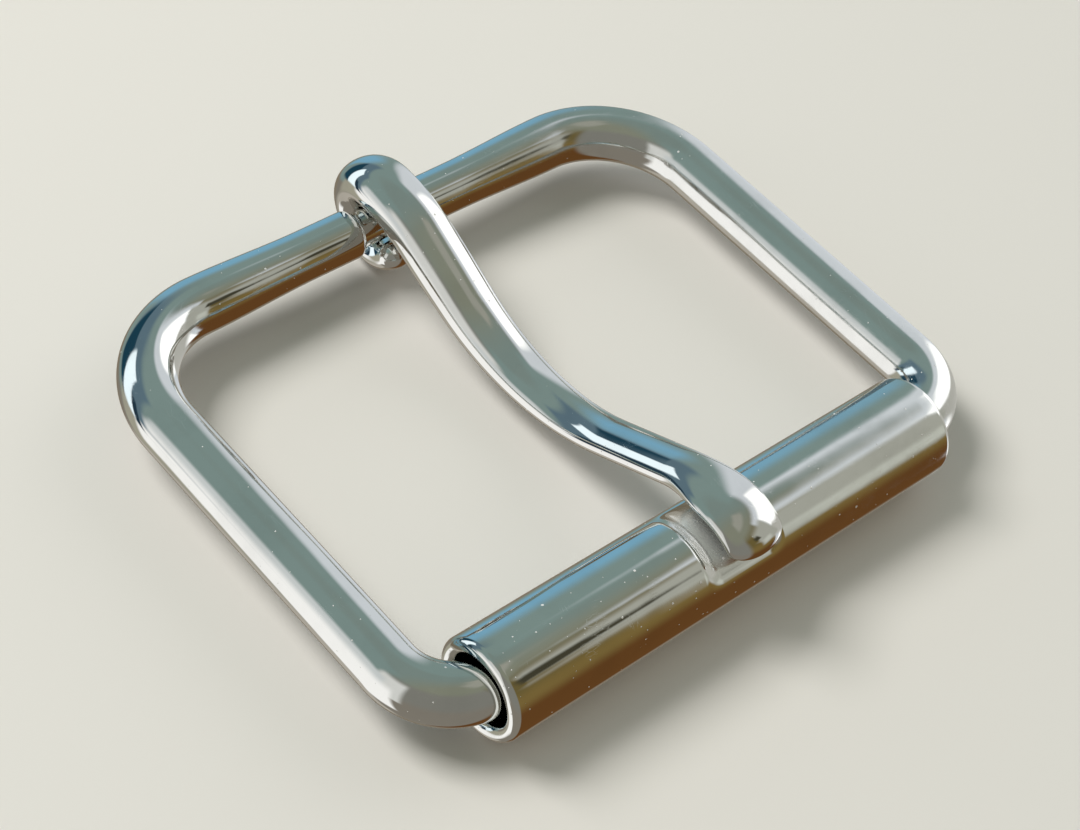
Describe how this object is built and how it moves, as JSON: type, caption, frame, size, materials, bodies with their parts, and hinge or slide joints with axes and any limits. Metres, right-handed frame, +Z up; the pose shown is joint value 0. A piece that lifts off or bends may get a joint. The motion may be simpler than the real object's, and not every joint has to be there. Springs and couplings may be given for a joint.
{
  "type": "belt buckle",
  "caption": "Roller buckle for a dress belt: a rounded wire frame, a roller turning on its front bar, and a curved tongue swinging on the necked heel bar.",
  "frame": {"origin": "centre of the buckle's footprint, on the surface it lies on", "axes": "+X along the heel bar, +Y from the roller to the heel bar, +Z up, out of the front face that is worn outwards"},
  "size_m": [0.05, 0.042, 0.0088],
  "materials": {
    "frame_metal": "mirror-polished nickel plate with fine dust and handling marks",
    "roller_metal": "mirror-polished nickel plate with fine scratches where the strap runs",
    "tongue_metal": "mirror-polished nickel plate, worn smooth over the tip"
  },
  "bodies": {
    "frame": {"frame": "frame_metal"},
    "roller": {"roller": "roller_metal"},
    "tongue": {"tongue": "tongue_metal"}
  },
  "joints": [
    {"name": "tongue_swing", "type": "hinge", "parent": "frame", "child": "tongue", "pos_m": [0, 0.01697, 0.00355], "axis": [-1, 0, 0], "range_deg": [0, 172]},
    {"name": "roller_spin", "type": "hinge", "parent": "frame", "child": "roller", "pos_m": [-0.0005, -0.01733, 0.00355], "axis": [1, 0, 0], "continuous": true}
  ]
}
